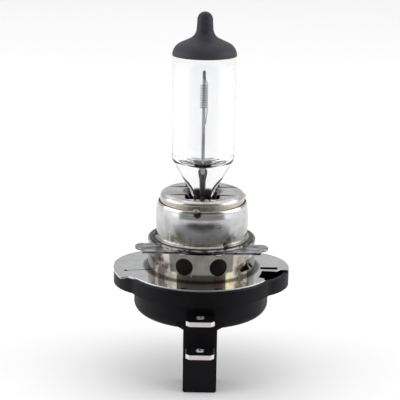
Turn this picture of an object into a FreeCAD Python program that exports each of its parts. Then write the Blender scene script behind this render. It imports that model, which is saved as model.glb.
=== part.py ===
import FreeCAD, Part
import math
import os

import Sketcher

# Headlight bulb with a 19 mm vented cap, a three-lug prefocus ring and two side-facing blades.
# Frame: the bulb axis is +Z, towards the glass tip. The origin is on that axis, in the reference
# plane that the underside of the prefocus ring lies in. The terminal blades point along -Y.

os.makedirs("parts", exist_ok=True)
doc = FreeCAD.newDocument("headlight_bulb")
Vector = FreeCAD.Vector
UP = Vector(0, 0, 1)

# --- driving dimensions, in millimetres and degrees ----------------------------------------------
DIMENSIONS = {
    # quartz burner
    "tube_radius": 5.46, "tube_wall": 1.0, "taper_top": 15.1, "shoulder_level": 32.7,
    "shoulder_radius": 2.2, "shoulder_turn": 65, "neck_radius": 1.37, "neck_fillet": 2.0,
    "tip_radius": 1.27, "tip_top": 40.0,
    "pinch_half_thick": 1.55, "pinch_half_wide": 5.1, "pinch_corner": 0.7,
    "pinch_top": 7.3, "pinch_bottom": 0.6,
    "cavity_floor": 13.5, "cavity_rim": 14.9, "cavity_foot": 4.2,
    "coating_thick": 0.06, "coating_edge": 32.65,
    # filament and its supports
    "light_centre": 25.6, "coil_length": 4.2, "coil_radius": 0.62, "coil_wire": 0.09,
    "coil_pitch": 0.35, "tail_overlap": 2.3, "hook_offset": 0.25, "hook_drop": 1.2,
    "support_radius": 0.3, "support_offset": 2.4, "support_foot": 8.0, "long_support_top": 30.0,
    "short_crank_low": 17.5, "short_crank_high": 18.8, "short_support_top": 23.0,
    "foil_thick": 0.12, "foil_width": 2.4, "foil_bottom": 2.2, "foil_top": 8.4,
    "lead_radius": 0.35,
    # metal cap
    "inner_cap_radius": 7.43, "inner_cap_top": 8.8, "inner_cap_bottom": 1.4,
    "inner_cap_round": 0.9, "sheet_thick": 0.35,
    "slot_half_wide": 3.0, "slot_half_long": 5.6, "slot_corner": 1.0,
    "tongue_half_wide": 2.55, "tongue_root": 5.6, "slit_width": 0.35,
    "leg_tip_gap": 0.08, "leg_tip_level": 6.2, "leg_bend": 0.25, "leg_root": 0.1,
    "sleeve_rim_radius": 7.8, "sleeve_rim_round": 0.5, "sleeve_top": 7.17,
    "sleeve_waist_radius": 8.15, "sleeve_waist_high": 5.2, "sleeve_waist_low": 1.9,
    "sleeve_foot_radius": 8.0, "sleeve_foot_level": 1.2, "sleeve_lip_radius": 8.35,
    "sleeve_thick": 0.3,
    "collar_radius": 9.5, "collar_bottom": -6.4, "cap_bore": 7.0, "collar_thick": 0.4,
    "vent_radius": 1.55, "vent_level": -2.28, "vent_spread": 18, "group_count": 3,
    "seat_radius": 9.2, "seat_top": 0.7, "seat_round": 0.2,
    # prefocus ring
    "ring_thick": 0.45, "ring_chord": 8.9, "ring_chord_half": 10.1,
    "lug_back": 4.2, "lug_root": 9.9, "nib_front": 7.3, "nib_reach": 10.5,
    "rear_lug_half": 2.4, "rear_lug_reach": 13.0,
    # spring flange plate
    "plate_top": -4.9, "plate_thick": 0.4, "plate_radius": 13.4,
    "ear_centre": 7.1, "ear_radius": 8.5, "ear_reach": 15.6, "ear_corner_inner": 12.0,
    "plate_ear_end": 27, "slit_hole": 0.4,
    # plastic base
    "flange_bottom": -7.9, "flange_radius": 13.8, "barrel_radius": 11.95, "barrel_bottom": -12.8,
    "barrel_round": 1.5, "cavity_radius": 9.1, "base_floor": -11.6, "ear_wall": 0.8,
    "pocket_floor": -7.2, "pocket_inner": 10.4, "pocket_end": 30, "pocket_left": 12,
    "pocket_right": 6,
    "stem_half_wide": 2.9, "stem_front": 12.1, "stem_back": 6.6, "stem_bottom": -24.05,
    "stem_corner": 0.4, "gusset_wide": 1.2, "gusset_low": -12.75, "gusset_high": -12.0,
    "gusset_front": 11.5,
    # terminals
    "blade_thick": 0.8, "blade_half_wide": 2.4, "blade_tip": 16.5, "blade_chamfer": 0.6,
    "blade_hole": 0.7, "hole_from_tip": 2.15, "upper_blade_top": -9.4, "lower_blade_top": -15.3,
    "blade_root": 11.0, "tail_gap": 0.3, "tail_end": 6.2, "riser_front": 9.2, "riser_top": -8.4,
    # insulator under the cap
    "insulator_top": -5.6, "insulator_bottom": -6.4, "insulator_hole": 0.9,
    "weld_radius": 0.6, "weld_thick": 0.35, "long_lead_turn": -7.2, "short_lead_turn": -6.9,
    "short_lead_step": -8.0, "short_lead_end": -11.0, "long_lead_back": -1.5, "long_lead_end": -8.2,
}

sheet = doc.addObject("Spreadsheet::Sheet", "Dims")
for row, (word, number) in enumerate(DIMENSIONS.items(), start=1):
    sheet.set(f"A{row}", word)
    sheet.set(f"B{row}", str(number))
    sheet.setAlias(f"B{row}", word)
doc.recompute()


def size(words):
    """The value of a sum such as "tube_radius - tube_wall", read from the sheet."""
    if isinstance(words, (int, float)):
        return float(words)
    total, sign = 0.0, 1.0
    for word in words.split():
        if word in "+-":
            sign = 1.0 if word == "+" else -1.0
        else:
            total += sign * (float(sheet.get(word)) if word in DIMENSIONS else float(word))
            sign = 1.0
    return total


def bind(target, prop, words):
    """Sets a property from the sheet and keeps it tied to it."""
    if isinstance(words, (int, float)):
        return
    target.setExpression(prop, " ".join("Dims." + w if w in DIMENSIONS else w
                                        for w in words.split()))


# --- sketch and feature helpers ------------------------------------------------------------------
def origin_part(body, role):
    return next(f for f in body.Origin.OriginFeatures if f.Role == role)


def new_body(label):
    body = doc.addObject("PartDesign::Body", label)
    body.Label = label
    return body


def new_sketch(body, name, plane="XY_Plane", level=0, turn=0):
    """A sketch on one of the body's own planes, raised by level and turned about Z."""
    sketch = body.newObject("Sketcher::SketchObject", name)
    sketch.AttachmentSupport = [(origin_part(body, plane), "")]
    sketch.MapMode = "FlatFace"
    if plane == "XY_Plane":
        sketch.AttachmentOffset = FreeCAD.Placement(Vector(0, 0, size(level)),
                                                    FreeCAD.Rotation(UP, turn))
        bind(sketch, "AttachmentOffset.Base.z", level)
    else:
        sketch.AttachmentOffset = FreeCAD.Placement(Vector(), FreeCAD.Rotation(Vector(0, 1, 0), turn))
    return sketch


def pin_point(sketch, geometry, end, point):
    """Fixes one end of a segment at a point given as two sizes."""
    for kind, words in zip(("DistanceX", "DistanceY"), point):
        index = sketch.addConstraint(Sketcher.Constraint(kind, -1, 1, geometry, end, size(words)))
        bind(sketch, f"Constraints[{index}]", words)


def draw_outline(sketch, steps):
    """A closed outline. Each step is a point (x, y), or (x, y, radius, side) for an arc to it.

    side is +1 where the arc turns left on its way to the point, and -1 where it turns right."""
    points = [Vector(size(s[0]), size(s[1]), 0) for s in steps]
    count = len(steps)
    for i, step in enumerate(steps):
        start, end = points[i - 1], points[i]
        if len(step) == 2:
            sketch.addGeometry(Part.LineSegment(start, end), False)
            continue
        radius, side = size(step[2]), step[3]
        chord = end - start
        rise = math.sqrt(max(radius ** 2 - (chord.Length / 2) ** 2, 0.0))
        left = Vector(-chord.y, chord.x, 0) / chord.Length
        centre = (start + end) / 2 + left * rise * side
        middle = centre - left * radius * side
        sketch.addGeometry(Part.Arc(start, middle, end), False)
    # Sketcher stores an arc counter-clockwise, so its first end is the step's end on a right turn
    def ends(i):
        return (2, 1) if len(steps[i]) == 4 and steps[i][3] < 0 else (1, 2)
    for i in range(count):
        following = (i + 1) % count
        sketch.addConstraint(Sketcher.Constraint("Coincident", i, ends(i)[1],
                                                 following, ends(following)[0]))
        pin_point(sketch, i, ends(i)[1], steps[i])
        if len(steps[i]) == 4:
            index = sketch.addConstraint(Sketcher.Constraint("Radius", i, size(steps[i][2])))
            bind(sketch, f"Constraints[{index}]", steps[i][2])


def draw_circle(sketch, radius, centre=(0, 0)):
    index = sketch.addGeometry(
        Part.Circle(Vector(size(centre[0]), size(centre[1]), 0), UP, size(radius)), False)
    place = sketch.addConstraint(Sketcher.Constraint("Radius", index, size(radius)))
    bind(sketch, f"Constraints[{place}]", radius)
    pin_point(sketch, index, 3, centre)


def draw_box(sketch, low_x, low_y, high_x, high_y):
    draw_outline(sketch, [(low_x, low_y), (high_x, low_y), (high_x, high_y), (low_x, high_y)])


def feature(body, kind, name, sketch, **values):
    """Adds a PartDesign feature, and checks that it changed the body's volume the right way."""
    doc.recompute()
    before = body.Shape.Volume if body.Tip and not body.Shape.isNull() else 0.0
    made = body.newObject("PartDesign::" + kind, name)
    made.Profile = sketch
    for prop, value in values.items():
        if isinstance(value, str) and prop in ("Length", "Length2"):
            setattr(made, prop, size(value))
            bind(made, prop, value)
        else:
            setattr(made, prop, value)
    body.Tip = made
    doc.recompute()
    grew = body.Shape.Volume - before
    if (grew < 1e-4) != (kind in ("Pocket", "Groove", "SubtractiveLoft")):
        raise RuntimeError(f"{body.Label}.{name} changed the volume by {grew:.4f}")
    return made


def pad(body, name, sketch, length):
    return feature(body, "Pad", name, sketch, Length=length)


def pocket(body, name, sketch, length, upwards=True):
    return feature(body, "Pocket", name, sketch, Length=length, Reversed=upwards)


def revolve(body, name, steps, kind="Revolution"):
    """Turns an outline of (radius, level) points about the bulb axis."""
    sketch = new_sketch(body, name + "_outline", "XZ_Plane")
    draw_outline(sketch, steps)
    return feature(body, kind, name, sketch, ReferenceAxis=(sketch, ["V_Axis"]), Angle=360)


def polar_repeat(body, name, original, count):
    pattern = body.newObject("PartDesign::PolarPattern", name)
    pattern.Originals = [original]
    pattern.Axis = (origin_part(body, "Z_Axis"), [""])
    pattern.Angle = 360
    pattern.Occurrences = int(size(count))
    body.Tip = pattern
    doc.recompute()
    return pattern


def round_edges(body, name, radius, wanted):
    """Fillets the edges of the body's tip for which wanted(edge) is true."""
    doc.recompute()
    base = body.Tip
    names = [f"Edge{i}" for i, edge in enumerate(base.Shape.Edges, start=1) if wanted(edge)]
    if not names:
        raise RuntimeError(f"{body.Label}.{name} found no edges")
    fillet = body.newObject("PartDesign::Fillet", name)
    fillet.Base = (base, names)
    fillet.Radius = size(radius)
    bind(fillet, "Radius", radius)
    body.Tip = fillet
    doc.recompute()
    return fillet


def shape_object(label, shape):
    """A plain feature for a piece that is swept along a path in space, or a group of solids."""
    made = doc.addObject("Part::Feature", label)
    made.Shape = shape
    made.Placement = FreeCAD.Placement()
    return made


def bent_wire(points, radius, bend):
    """A round wire along straight runs joined by tangent arcs of radius bend."""
    points = [Vector(*p) for p in points]
    edges, last = [], points[0]
    for before, corner, after in zip(points, points[1:], points[2:]):
        inward = (before - corner).normalize()
        outward = (after - corner).normalize()
        half_turn = (math.pi - inward.getAngle(outward)) / 2
        reach = bend * math.tan(half_turn)
        start, end = corner + inward * reach, corner + outward * reach
        to_centre = (inward + outward).normalize()
        middle = corner + to_centre * (bend / math.cos(half_turn) - bend)
        edges += [Part.makeLine(last, start), Part.Arc(start, middle, end).toShape()]
        last = end
    edges.append(Part.makeLine(last, points[-1]))
    path = Part.Wire(edges)
    section = Part.Wire(Part.makeCircle(radius, points[0], points[1] - points[0]))
    return path.makePipeShell([section], True, False)


def on_circle(radius, degrees, level=0.0):
    angle = math.radians(degrees)
    return Vector(radius * math.cos(angle), radius * math.sin(angle), level)


def weld_spot(place, normal, radius, height):
    """A flattened weld nugget: a low dome on a short round foot, standing along normal."""
    ball = (radius ** 2 + height ** 2) / (2 * height)
    dome = Part.makeSphere(ball, Vector(0, 0, height - ball))
    foot = Part.makeCylinder(radius, 2 * height, Vector(0, 0, -height))
    nugget = dome.common(foot)
    nugget.Placement = FreeCAD.Placement(place, FreeCAD.Rotation(UP, normal))
    return nugget


# --- glass burner --------------------------------------------------------------------------------
def dome_steps(skin):
    """The outer line of the glass from the tube's shoulder to the tip, grown outwards by skin."""
    turn = math.radians(size("shoulder_turn"))
    tube, neck = size("tube_radius") + skin, size("neck_radius") + skin
    shoulder, fillet = size("shoulder_radius") + skin, size("neck_fillet") - skin
    level, tip = size("shoulder_level"), size("tip_radius") + skin
    # the shoulder arc turns by shoulder_turn, a straight flank follows, then the neck's hollow arc
    flank_low = (tube - shoulder + shoulder * math.cos(turn), level + shoulder * math.sin(turn))
    flank_x = neck + fillet - fillet * math.cos(turn)
    flank_high = (flank_x, flank_low[1] + (flank_low[0] - flank_x) / math.tan(turn))
    neck_level = flank_high[1] + fillet * math.sin(turn)
    cap_level = size("tip_top") + skin - tip
    return [(tube, level), (*flank_low, shoulder, 1), flank_high, (neck, neck_level, fillet, -1),
            (tip, cap_level), (0, cap_level + tip, tip, 1)]


def rounded_box_steps(half_x, half_y, corner):
    """A rectangle with round corners, centred on the axis."""
    near_x, near_y = half_x - corner, half_y - corner
    return [(near_x, -half_y), (half_x, -near_y, corner, 1), (half_x, near_y),
            (near_x, half_y, corner, 1), (-near_x, half_y), (-half_x, near_y, corner, 1),
            (-half_x, -near_y), (-near_x, -half_y, corner, 1)]


def split_circle_steps(radius, half_x, half_y, corner):
    """A circle cut into eight arcs that match the eight sides of a rounded box."""
    steps = []
    for x, y, *_ in rounded_box_steps(half_x, half_y, corner):
        angle = math.atan2(y, x)
        steps.append((radius * math.cos(angle), radius * math.sin(angle), radius, 1))
    return steps


def make_glass():
    body = new_body("glass_envelope")
    revolve(body, "tube_and_dome", [(0, "taper_top"), ("tube_radius", "taper_top"), *dome_steps(0)])
    box = (size("pinch_half_thick"), size("pinch_half_wide"), size("pinch_corner"))
    seal = new_sketch(body, "seal_section", level="pinch_top")
    draw_outline(seal, rounded_box_steps(*box))
    round_end = new_sketch(body, "tube_section", level="taper_top")
    draw_outline(round_end, split_circle_steps(size("tube_radius"), *box))
    feature(body, "AdditiveLoft", "taper", seal, Sections=[round_end], Ruled=True)
    press = new_sketch(body, "press_section", level="pinch_bottom")
    draw_outline(press, rounded_box_steps(*box))
    pad(body, "pinch_seal", press, "pinch_top - pinch_bottom")
    wall = size("tube_wall")
    level, bore = size("shoulder_level"), size("tube_radius") - wall
    dome = size("shoulder_radius") - wall
    revolve(body, "gas_space", [
        (0, "cavity_floor"), ("cavity_foot", "cavity_rim"), (bore, "taper_top"), (bore, level),
        (bore - dome, level + dome, dome, 1), (0, level + dome)], kind="Groove")
    return body


def make_coating():
    """The dark anti-glare coat over the dome and the exhaust tip, a skin of one thickness."""
    body = new_body("anti_glare_coating")
    skin = size("coating_thick")
    outer = dome_steps(skin)
    inner = dome_steps(0)
    edge = size("coating_edge")
    outline = [(inner[0][0], edge), (outer[0][0], edge), *outer]
    ends = [(0, inner[-1][1])]
    # back down the glass: every arc is run the other way, so it turns to the other side
    for here, step in zip(reversed(inner[:-1]), reversed(inner[1:])):
        ends.append((*here[:2], step[2], -step[3]) if len(step) == 4 else here[:2])
    revolve(body, "coat", outline + ends)
    return body


def make_filament():
    """The close-wound coil with its two straight tails, one up and one down."""
    radius, pitch, wire = size("coil_radius"), size("coil_pitch"), size("coil_wire")
    length, centre = size("coil_length"), size("light_centre")
    low = centre - length / 2
    helix = Part.makeHelix(pitch, length, radius)
    helix.translate(Vector(0, 0, low))
    start = helix.Vertexes[0].Point
    path = Part.Wire(helix.Edges)
    section = Part.Wire(Part.makeCircle(wire, start, Vector(0, 1, 0)))
    coil = path.makePipeShell([section], True, True)
    turns = length / pitch
    top = on_circle(radius, 360 * (turns % 1), centre + length / 2)
    # the low tail runs down beside the short support, the high one up to the long support's hook
    beside = Vector(size("support_radius") + wire / 2, 0,
                    size("short_support_top") - size("tail_overlap"))
    hook = Vector(0, 0, size("long_support_top") - size("hook_drop") + wire)
    tails = [Part.makeCylinder(wire, (end - corner).Length, corner, end - corner)
             for corner, end in ((start, beside), (top, hook))]
    return shape_object("filament_coil", coil.fuse(tails).removeSplitter())


def make_supports():
    """Two stiff wires that rise from the seal foils: the long one hooks over the coil's top."""
    radius, offset = size("support_radius"), size("support_offset")
    foot, top = size("support_foot"), size("long_support_top")
    bend = 2 * radius
    shape_object("long_support_wire", bent_wire(
        [(0, offset, foot), (0, offset, top), (0, size("hook_offset"), top - size("hook_drop"))],
        radius, bend))
    low, high = size("short_crank_low"), size("short_crank_high")
    shape_object("short_support_wire", bent_wire(
        [(0, -offset, foot), (0, -offset, low), (0, 0, high), (0, 0, size("short_support_top"))],
        radius, bend))


def make_foils():
    """The two thin foils that carry the current through the pinched glass."""
    for label, side in (("long_seal_foil", 1), ("short_seal_foil", -1)):
        body = new_body(label)
        sketch = new_sketch(body, "foil_section", level="foil_bottom")
        middle = side * size("support_offset")
        half = size("foil_width") / 2
        thick = size("foil_thick") / 2
        draw_box(sketch, -thick, middle - half, thick, middle + half)
        pad(body, "foil", sketch, "foil_top - foil_bottom")


# --- metal cap -----------------------------------------------------------------------------------
def make_inner_cap():
    """The domed cup around the pinch. Two tongues of its top fold down and grip the glass."""
    body = new_body("inner_cap")
    edge, top, low = "inner_cap_radius", "inner_cap_top", "inner_cap_bottom"
    wall = "sheet_thick"
    turn = "inner_cap_round"
    revolve(body, "cup", [
        ("inner_cap_radius - sheet_thick", low), (edge, low),
        (edge, "inner_cap_top - inner_cap_round"),
        ("inner_cap_radius - inner_cap_round", top, turn, 1), (0, top),
        (0, "inner_cap_top - sheet_thick"),
        ("inner_cap_radius - inner_cap_round", "inner_cap_top - sheet_thick"),
        ("inner_cap_radius - sheet_thick", "inner_cap_top - inner_cap_round",
         size(turn) - size(wall), -1)])
    slot = new_sketch(body, "seal_slot", level="inner_cap_top - 1")
    draw_outline(slot, rounded_box_steps(size("slot_half_wide"), size("slot_half_long"),
                                         size("slot_corner")))
    pocket(body, "slot", slot, "2")
    low_side, root = size("tongue_half_wide"), size("tongue_root")
    high_side = low_side + size("slit_width")
    for name, side_x, side_y in (("slit_a", 1, 1), ("slit_b", 1, -1), ("slit_c", -1, 1),
                                 ("slit_d", -1, -1)):
        slit = new_sketch(body, name + "_outline", level="inner_cap_top - 1")
        xs = sorted((side_x * (size("slot_half_wide") - 0.1), side_x * root))
        ys = sorted((side_y * low_side, side_y * high_side))
        draw_box(slit, xs[0], ys[0], xs[1], ys[1])
        pocket(body, name, slit, "2")
    # the folded legs follow the glass's taper, then lie along the pinch
    thick, height = size(wall), size(top)
    inner_x = size("pinch_half_thick") + size("leg_tip_gap")
    tip_level, bend = size("leg_tip_level"), size("leg_bend")
    knee_low, knee_high = size("pinch_top") - bend, size("pinch_top") + bend / 2
    edge_x = size("slot_half_wide") + size("leg_root")
    for name, side in (("leg_right", 1), ("leg_left", -1)):
        leg = new_sketch(body, name + "_outline", "XZ_Plane")
        line = [(edge_x, height), (edge_x - 2 * bend, height), (inner_x + bend, knee_high),
                (inner_x, knee_low), (inner_x, tip_level), (inner_x + thick, tip_level),
                (inner_x + thick, knee_low), (inner_x + thick + bend, knee_high),
                (edge_x - bend, height - thick), (edge_x, height - thick)]
        draw_outline(leg, [(side * x, z) for x, z in line])
        feature(body, "Pad", name, leg, Length=2 * low_side, Midplane=True)
    return body


def make_sleeve():
    """The outer shell: a rolled-in rim, a slightly swelling wall and a flared lip."""
    body = new_body("outer_sleeve")
    thick = "sleeve_thick"
    lip = "seat_top"
    revolve(body, "wall", [
        (size("sleeve_lip_radius") - size(thick), lip), ("sleeve_lip_radius", lip),
        ("sleeve_foot_radius", "sleeve_foot_level"), ("sleeve_waist_radius", "sleeve_waist_low"),
        ("sleeve_waist_radius", "sleeve_waist_high"),
        ("sleeve_rim_radius", "sleeve_top - sleeve_rim_round"),
        (size("sleeve_rim_radius") - 0.05, "sleeve_top"),
        (size("sleeve_rim_radius") - size(thick), "sleeve_top"),
        (size("sleeve_rim_radius") - size(thick), "sleeve_top - sleeve_rim_round"),
        ("sleeve_waist_radius - sleeve_thick", "sleeve_waist_high"),
        ("sleeve_waist_radius - sleeve_thick", "sleeve_waist_low"),
        ("sleeve_foot_radius - sleeve_thick", "sleeve_foot_level")])
    return body


def make_collar():
    """The vented 19 mm cup under the prefocus ring, with three pairs of round vent holes."""
    body = new_body("vented_collar")
    revolve(body, "cup", [
        ("collar_radius - collar_thick", "collar_bottom"), ("collar_radius", "collar_bottom"),
        ("collar_radius", 0), ("cap_bore", 0), ("cap_bore", "- collar_thick"),
        ("collar_radius - collar_thick", "- collar_thick")])
    for name, side in (("vent_left", 1), ("vent_right", -1)):
        whole = body.Shape.Volume
        vent = new_sketch(body, name + "_outline", "XZ_Plane", turn=side * size("vent_spread"))
        draw_circle(vent, "vent_radius", (0, "vent_level"))
        hole = feature(body, "Pocket", name, vent, Length="collar_radius + 1", Reversed=True)
        one = whole - body.Shape.Volume
        polar_repeat(body, name + "_group", hole, "group_count")
        if abs(whole - body.Shape.Volume - size("group_count") * one) > 0.05 * one:
            raise RuntimeError(f"{name} did not repeat")
    return body


def make_seat_ring():
    """The dark ring between the prefocus ring and the sleeve, rounded at its outer edge."""
    body = new_body("seat_ring")
    revolve(body, "ring", [
        ("cap_bore", "ring_thick"), ("seat_radius", "ring_thick"),
        ("seat_radius", "seat_top - seat_round"),
        ("seat_radius - seat_round", "seat_top", "seat_round", 1), ("cap_bore", "seat_top")])
    return body


def make_prefocus_ring():
    """A flat ring with a straight front edge and three reference lugs, 120 degrees apart."""
    body = new_body("prefocus_ring")
    band = new_sketch(body, "band_outline")
    draw_circle(band, "collar_radius")
    pad(body, "band", band, "ring_thick")
    cut = new_sketch(body, "front_edge_outline", level=-1)
    draw_box(cut, -20, -20, 20, "- ring_chord")
    pocket(body, "front_edge", cut, "ring_thick + 2")
    chord, root = size("ring_chord_half"), size("lug_root")
    back, front = size("lug_back"), size("nib_front")
    reach = size("nib_reach")
    nib = (front - back) / 2
    for name, side in (("lug_right", 1), ("lug_left", -1)):
        lug = new_sketch(body, name + "_outline")
        draw_outline(lug, [(side * 4.0, "- ring_chord"), (side * chord, "- ring_chord"),
                           (side * (root + 0.2), -front - 0.4), (side * reach, -front),
                           (side * reach, -back, nib + 0.15, side),
                           (side * root, -back), (side * 6.0, -back)])
        pad(body, name, lug, "ring_thick")
    rear = new_sketch(body, "lug_rear_outline")
    half, far = size("rear_lug_half"), size("rear_lug_reach")
    draw_outline(rear, [(-half, 8.0), (half, 8.0), (half, far - 0.8), (half - 0.8, far, 0.8, 1),
                        (-half + 0.8, far), (-half, far - 0.8, 0.8, 1)])
    pad(body, "lug_rear", rear, "ring_thick")
    bore = new_sketch(body, "bore_outline", level=-1)
    draw_circle(bore, "cap_bore")
    pocket(body, "bore", bore, "ring_thick + 2")
    return body


# --- spring flange plate and plastic base --------------------------------------------------------
def pad_ears(body, level, thick):
    """Two round ears, left and right."""
    for name, side in (("left", -1), ("right", 1)):
        ear = new_sketch(body, f"ear_{name}_outline", level=level)
        draw_circle(ear, "ear_radius", (side * size("ear_centre"), 0))
        pad(body, f"ear_{name}", ear, thick)


def ear_sector_steps(side, inner, outer, last):
    """A ring sector from the X axis to last degrees below it, on the side given."""
    b, c = on_circle(outer, -last), on_circle(inner, -last)
    turn = -side
    return [(side * outer, 0), (side * b.x, b.y, outer, turn), (side * c.x, c.y),
            (side * inner, 0, inner, -turn)]


def ear_edge_point(degrees, inset):
    """The point of an ear's round edge, moved inwards by inset, at degrees below the X axis."""
    angle = math.radians(degrees)
    aside = size("ear_centre") * math.sin(angle)
    reach = size("ear_centre") * math.cos(angle)
    reach += math.sqrt((size("ear_radius") - inset) ** 2 - aside ** 2)
    return on_circle(reach, -degrees)


# the plate's cuts, as points on the plate seen from above
SLIT_STOP = (-13.2, -3.4)
SLIT = [(-13.2, -3.55), (-9.0, -3.0), (-9.0, -2.7), (-13.2, -3.25)]
WINDOW = [(10.5, -1.8), (13.5, -1.8), (13.5, -0.4), (10.5, -0.4)]
ARM_GAP = [(10.7, -2.4), (13.3, -2.7), (14.0, -1.7), (17.0, -1.7), (17.0, -9.0), (12.3, -8.2),
           (10.9, -7.4), (11.0, -6.7), (9.9, -6.1), (10.4, -4.4)]


def make_flange_plate():
    """The polished spring plate: two ears, a lanced window, and a front arm cut free at one end.

    The slit at the left lies beside the root of that arm, and ends in a small round hole."""
    body = new_body("flange_plate")
    level = "plate_top - plate_thick"
    disc = new_sketch(body, "disc_outline", level=level)
    draw_circle(disc, "plate_radius")
    pad(body, "disc", disc, "plate_thick")
    pad_ears(body, level, "plate_thick")
    for name, side in (("corner_left", -1), ("corner_right", 1)):
        corner = new_sketch(body, name + "_outline", level=level)
        draw_outline(corner, ear_sector_steps(side, size("ear_corner_inner"), size("ear_reach"),
                                              size("plate_ear_end")))
        pad(body, name, corner, "plate_thick")
    for name in ("bore", "stop_hole"):
        hole = new_sketch(body, name + "_outline", level=level)
        if name == "bore":
            draw_circle(hole, "collar_radius")
        else:
            draw_circle(hole, "slit_hole", SLIT_STOP)
        pocket(body, name, hole, "plate_thick")
    for name, outline in (("relief_slit", SLIT), ("lanced_window", WINDOW), ("arm_gap", ARM_GAP)):
        cut = new_sketch(body, name + "_outline", level=level)
        draw_outline(cut, outline)
        pocket(body, name, cut, "plate_thick")
    return body


def make_housing_body():
    """The moulded base: flange with hollow ears, short barrel and the flat stem for the blades."""
    body = new_body("housing_moulding")
    barrel = new_sketch(body, "barrel_outline", level="barrel_bottom")
    draw_circle(barrel, "barrel_radius")
    pad(body, "barrel", barrel, "plate_top - plate_thick - barrel_bottom")
    bottom = size("barrel_bottom")
    round_edges(body, "barrel_round", "barrel_round",
                lambda e: abs(e.BoundBox.ZMax - bottom) < 1e-6 and e.Length > 10)
    thick = "plate_top - plate_thick - flange_bottom"
    pad_ears(body, "flange_bottom", thick)
    flange = new_sketch(body, "flange_outline", level="flange_bottom")
    draw_circle(flange, "flange_radius")
    pad(body, "flange", flange, thick)
    stem = new_sketch(body, "stem_outline", level="stem_bottom")
    draw_box(stem, "- stem_half_wide", "- stem_front", "stem_half_wide", "- stem_back")
    pad(body, "stem", stem, "barrel_bottom - stem_bottom + barrel_round")
    low = size("stem_bottom")
    round_edges(body, "stem_round", "stem_corner",
                lambda e: abs(e.BoundBox.ZMax - low) < 1e-6 and abs(e.Length - 5.5) < 0.1)
    for name, side in (("gusset_left", -1), ("gusset_right", 1)):
        gusset = new_sketch(body, name + "_outline", "XZ_Plane")
        near, far = size("stem_half_wide"), size("stem_half_wide") + size("gusset_wide")
        low, high = size("gusset_low"), size("gusset_high")
        draw_outline(gusset, [(side * near, high + 0.4), (side * near, low), (side * far, high),
                              (side * far, high + 0.4)])
        feature(body, "Pad", name, gusset, Length="gusset_front")
    well = new_sketch(body, "well_outline", level="base_floor")
    draw_circle(well, "cavity_radius")
    pocket(body, "well", well, "plate_top - base_floor")
    seat = new_sketch(body, "seat_outline", level="collar_bottom")
    draw_circle(seat, "collar_radius")
    pocket(body, "collar_seat", seat, "plate_top - collar_bottom")
    inner, last, wall = size("pocket_inner"), size("pocket_end"), size("ear_wall")
    for name, side in (("pocket_left", -1), ("pocket_right", 1)):
        first = size(name)
        corners = [ear_edge_point(first, wall), ear_edge_point(last, wall),
                   on_circle(inner, -last), on_circle(inner, -first)]
        steps = [(side * corner.x, corner.y) for corner in corners]
        steps[1] += (size("ear_radius") - wall, -side)
        steps[-1] += (inner, side)
        hollow = new_sketch(body, name + "_outline", level="pocket_floor")
        draw_outline(hollow, steps)
        pocket(body, name, hollow, "plate_top - pocket_floor")
    return body


def blade_steps(root, tail_low, tail_high, tail_end):
    """A blade seen from above: chamfered tip at -Y, full width to its root, then a narrow tail."""
    half, tip, cut = size("blade_half_wide"), size("blade_tip"), size("blade_chamfer")
    return [(-half + cut, -tip), (half - cut, -tip), (half, -tip + cut), (half, -root),
            (tail_high, -root), (tail_high, -tail_end), (tail_low, -tail_end), (tail_low, -root),
            (-half, -root), (-half, -tip + cut)]


def make_terminals():
    thick = "blade_thick"
    gap, half = size("tail_gap"), size("blade_half_wide")
    upper = new_body("upper_terminal")
    level = "upper_blade_top - blade_thick"
    plan = new_sketch(upper, "blade_outline", level=level)
    draw_outline(plan, blade_steps(size("blade_root"), -half + 0.1, -gap, size("tail_end")))
    pad(upper, "blade", plan, thick)
    lower = new_body("lower_terminal")
    low_level = "lower_blade_top - blade_thick"
    plan = new_sketch(lower, "blade_outline", level=low_level)
    draw_outline(plan, blade_steps(size("blade_root"), gap, half - 0.1,
                                   size("riser_front") - size(thick)))
    pad(lower, "blade", plan, thick)
    riser = new_sketch(lower, "riser_outline", level=low_level)
    draw_box(riser, gap, -size("riser_front"), half - 0.1, -size("riser_front") + size(thick))
    pad(lower, "riser", riser, "riser_top - lower_blade_top + blade_thick")
    for body, top in ((upper, "upper_blade_top"), (lower, "lower_blade_top")):
        hole = new_sketch(body, "hole_outline", level=top)
        draw_circle(hole, "blade_hole", (0, "hole_from_tip - blade_tip"))
        pocket(body, "detent_hole", hole, thick, upwards=False)
    return upper, lower


def make_insulator():
    """The disc that closes the cap cup below and keeps the two leads apart."""
    body = new_body("insulator_disc")
    disc = new_sketch(body, "disc_outline", level="insulator_bottom")
    draw_circle(disc, "collar_radius - collar_thick")
    pad(body, "disc", disc, "insulator_top - insulator_bottom")
    for name, side in (("lead_hole_front", -1), ("lead_hole_rear", 1)):
        hole = new_sketch(body, name + "_outline", level="insulator_bottom")
        draw_circle(hole, "insulator_hole", (0, side * size("support_offset")))
        pocket(body, name, hole, "insulator_top - insulator_bottom")
    return body


def make_leads():
    """The outer leads, from the seal foils down through the insulator to the terminal tails."""
    radius, offset = size("lead_radius"), size("support_offset")
    foot = size("foil_bottom") + 0.9
    bend = 3 * radius
    side = (size("blade_half_wide") - 0.1 + size("tail_gap")) / 2
    tail_top = size("upper_blade_top") + radius
    shape_object("long_outer_lead", bent_wire(
        [(0, offset, foot), (0, offset, size("long_lead_turn")),
         (-side, size("long_lead_back"), tail_top), (-side, size("long_lead_end"), tail_top)],
        radius, bend))
    face = -size("riser_front") + size("blade_thick") + radius
    shape_object("short_outer_lead", bent_wire(
        [(0, -offset, foot), (0, -offset, size("short_lead_turn")),
         (side, face, size("short_lead_step")), (side, face, size("short_lead_end"))],
        radius, bend))


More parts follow.
